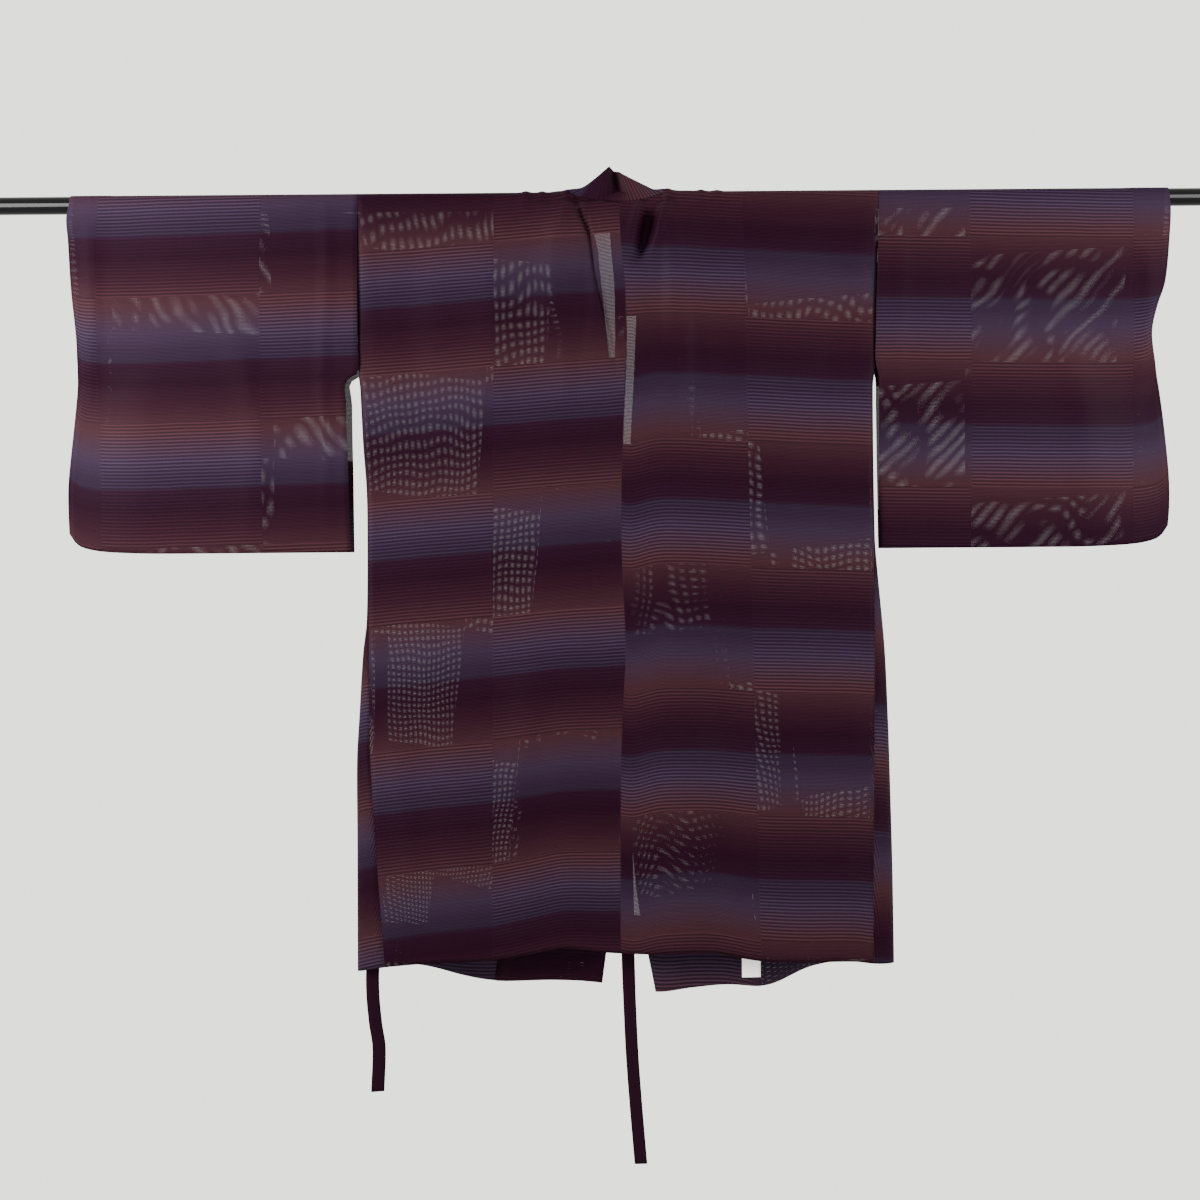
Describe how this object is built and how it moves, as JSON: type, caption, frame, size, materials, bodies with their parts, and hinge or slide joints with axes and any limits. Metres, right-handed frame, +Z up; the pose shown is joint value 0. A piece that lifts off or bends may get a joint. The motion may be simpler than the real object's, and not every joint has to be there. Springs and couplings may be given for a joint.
{
  "type": "dochugi coat on a rod",
  "caption": "Unlined sheer gauze dochugi coat with shaded weft bands, hung by its sleeves on a round black rod, back towards the viewer, with overlapping fronts, gussets and ties.",
  "frame": {"origin": "middle of the rod, on its axis, at the coat's centre back seam", "axes": "+Z up, +X along the rod towards the wearer's right sleeve, -Y towards the side that the back of the coat faces"},
  "size_m": [1.7, 0.0618, 1.2495],
  "materials": {
    "gauze_cloth": "sheer leno gauze in maroon, brown and blue-violet weft bands",
    "tie_cloth": "folded gauze strip, dark maroon",
    "rod_enamel": "gloss black enamel on steel tube",
    "label_tape": "plain white woven tape"
  },
  "bodies": {
    "root": {"rod": "rod_enamel", "body_left": "gauze_cloth", "body_right": "gauze_cloth", "gusset_left": "gauze_cloth", "gusset_right": "gauze_cloth", "overlap_left": "gauze_cloth", "overlap_right": "gauze_cloth", "sleeve_left": "gauze_cloth", "sleeve_right": "gauze_cloth", "collar": "gauze_cloth", "tie_overlap_left": "tie_cloth", "tie_overlap_right": "tie_cloth", "tie_side_left": "tie_cloth", "tie_front_right": "tie_cloth", "label": "label_tape"}
  },
  "joints": []
}
